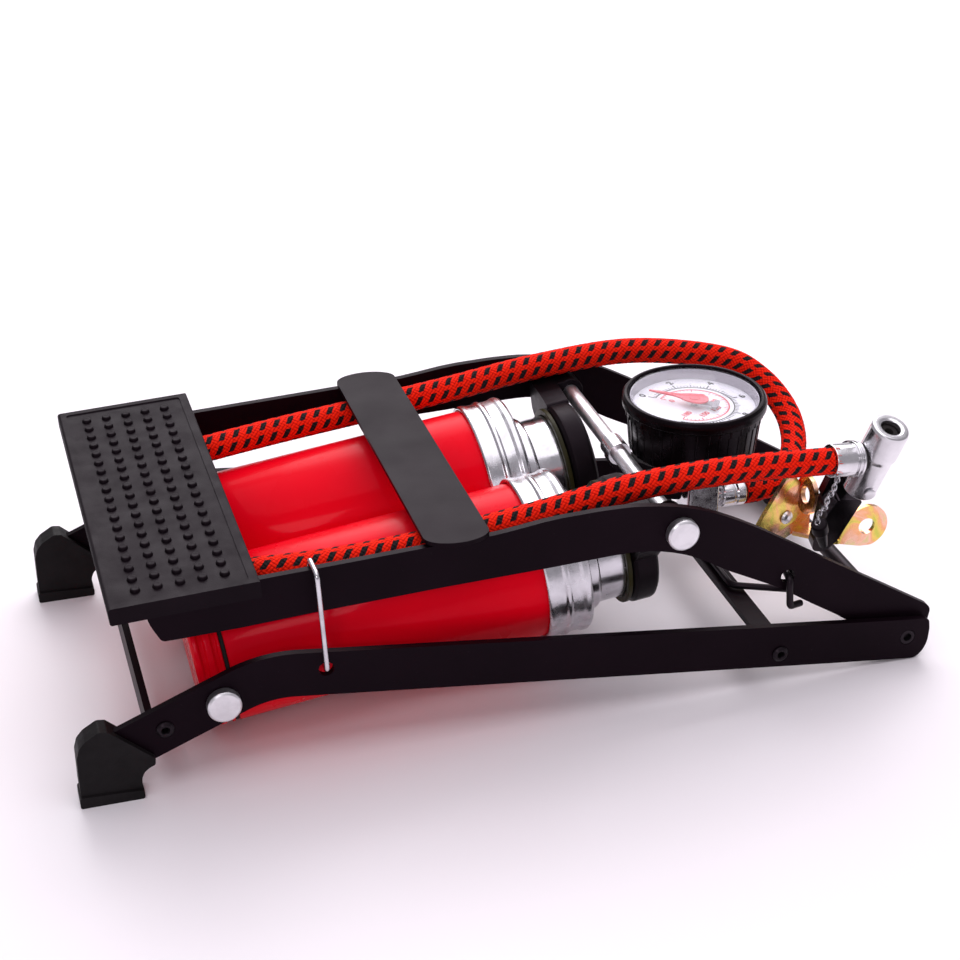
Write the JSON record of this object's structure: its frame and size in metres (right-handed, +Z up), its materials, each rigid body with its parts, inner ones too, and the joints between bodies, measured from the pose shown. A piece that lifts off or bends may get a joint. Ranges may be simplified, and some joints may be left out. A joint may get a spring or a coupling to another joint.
{
  "type": "foot pump",
  "caption": "Folded foot pump: red pump barrels in a hinged black steel frame with a studded pedal, round pressure gauge, braided hose and lever chuck.",
  "frame": {"origin": "middle of the bottom of the bounding box, measured without the hose and what is on its free end", "axes": "+X from the rubber feet to the frame's front hinge, +Y from the near side plate to the far one, +Z up from the floor"},
  "size_m": [0.3118, 0.1446, 0.0888],
  "materials": {
    "frame_black": "satin powder coat",
    "spring_wire": "black oxide wire",
    "boot_rubber": "matte",
    "zinc_steel": "bright zinc plate",
    "yellow_zinc": "yellow passivated zinc plate",
    "black_plastic": "satin moulding",
    "nickel_metal": "satin machined",
    "clear_lens": "clear gloss",
    "dial_card": "printed card",
    "red_pointer": "gloss",
    "braided_hose": "woven nylon braid over rubber",
    "red_lacquer": "gloss lacquer",
    "seal_rubber": "matte"
  },
  "bodies": {
    "base": {"side_plate_near": "frame_black", "side_plate_far": "frame_black", "rear_tie_bar": "frame_black", "front_tie_bar": "frame_black", "tie_rivet_rear_near": "frame_black", "tie_rivet_rear_far": "frame_black", "tie_rivet_front_near": "frame_black", "tie_rivet_front_far": "frame_black", "foot_near": "boot_rubber", "foot_far": "boot_rubber", "lower_rod": "zinc_steel", "front_axle": "frame_black", "pivot_washer_near": "zinc_steel", "pivot_washer_far": "zinc_steel", "torsion_spring": "spring_wire", "zinc_bracket": "yellow_zinc", "zinc_eye_arm": "yellow_zinc", "bracket_rivet": "zinc_steel"},
    "lever": {"lever_arm_near": "frame_black", "lever_arm_far": "frame_black", "cross_strap": "frame_black", "pedal": "black_plastic", "cross_tube": "zinc_steel", "manifold_arm": "frame_black", "gauge_block": "nickel_metal", "gauge_stem": "nickel_metal", "gauge_case": "black_plastic", "gauge_bezel": "black_plastic", "gauge_lens": "clear_lens", "gauge_dial": "dial_card", "gauge_spindle": "nickel_metal", "hose_sleeve": "nickel_metal", "hose": "braided_hose", "hose_ferrule": "nickel_metal", "chuck_body": "nickel_metal", "chuck_rivet": "nickel_metal", "nozzle_chain": "zinc_steel", "nozzle_cone": "black_plastic"},
    "latch": {"storage_latch": "zinc_steel"},
    "needle": {"gauge_needle": "red_pointer"},
    "chuck_lever_body": {"chuck_lever": "black_plastic"},
    "cylinder_near": {"cylinder_cap_near": "red_lacquer", "cylinder_seal_near": "seal_rubber", "cylinder_tube_near": "red_lacquer", "cylinder_collar_near": "zinc_steel"},
    "cylinder_far": {"cylinder_cap_far": "red_lacquer", "cylinder_seal_far": "seal_rubber", "cylinder_tube_far": "red_lacquer", "cylinder_collar_far": "zinc_steel"},
    "piston_near": {"piston_tube_near": "zinc_steel", "piston_shoulder_near": "zinc_steel", "piston_head_near": "black_plastic", "piston_washer_near": "seal_rubber", "piston_cap_near": "black_plastic"},
    "piston_far": {"piston_tube_far": "zinc_steel", "piston_shoulder_far": "zinc_steel", "piston_head_far": "black_plastic", "piston_washer_far": "seal_rubber", "piston_cap_far": "black_plastic"}
  },
  "joints": [
    {"name": "lever_hinge", "type": "hinge", "parent": "base", "child": "lever", "pos_m": [0.1419, 0, 0.0096], "axis": [0, 1, 0], "range_deg": [0, 28], "deforming": ["torsion_spring", "storage_latch"]},
    {"name": "latch_swing", "type": "hinge", "parent": "base", "child": "latch", "pos_m": [-0.0722, -0.06675, 0.0365], "axis": [1, 0, 0], "range_deg": [0, 80]},
    {"name": "needle_turn", "type": "hinge", "parent": "lever", "child": "needle", "pos_m": [0.081, -0.004, 0.0844], "axis": [0, 0, -1], "range_deg": [0, 270], "stiffness_Nm_per_rad": 0.00001},
    {"name": "chuck_lever_turn", "type": "hinge", "parent": "lever", "child": "chuck_lever_body", "pos_m": [0.13259, -0.04057, 0.06099], "axis": [-0.0524, -0.9454, -0.3218], "range_deg": [0, 70]},
    {"name": "cylinder_near_swing", "type": "hinge", "parent": "base", "child": "cylinder_near", "pos_m": [-0.1069, -0.0302, 0.0304], "axis": [0, -1, 0], "range_deg": [0, 8.39]},
    {"name": "piston_near_turn", "type": "hinge", "parent": "lever", "child": "piston_near", "pos_m": [0.0526, -0.0302, 0.066], "axis": [0, -1, 0], "range_deg": [0, 36.39]},
    {"name": "cylinder_far_swing", "type": "hinge", "parent": "base", "child": "cylinder_far", "pos_m": [-0.1069, 0.0302, 0.0304], "axis": [0, -1, 0], "range_deg": [0, 8.39]},
    {"name": "piston_far_turn", "type": "hinge", "parent": "lever", "child": "piston_far", "pos_m": [0.0526, 0.0302, 0.066], "axis": [0, -1, 0], "range_deg": [0, 36.39]}
  ],
  "couplings": [
    {"joint": "cylinder_near_swing", "follows": "lever_hinge", "ratio": 0.298},
    {"joint": "piston_near_turn", "follows": "lever_hinge", "ratio": 1.298},
    {"joint": "cylinder_far_swing", "follows": "lever_hinge", "ratio": 0.298},
    {"joint": "piston_far_turn", "follows": "lever_hinge", "ratio": 1.298}
  ]
}
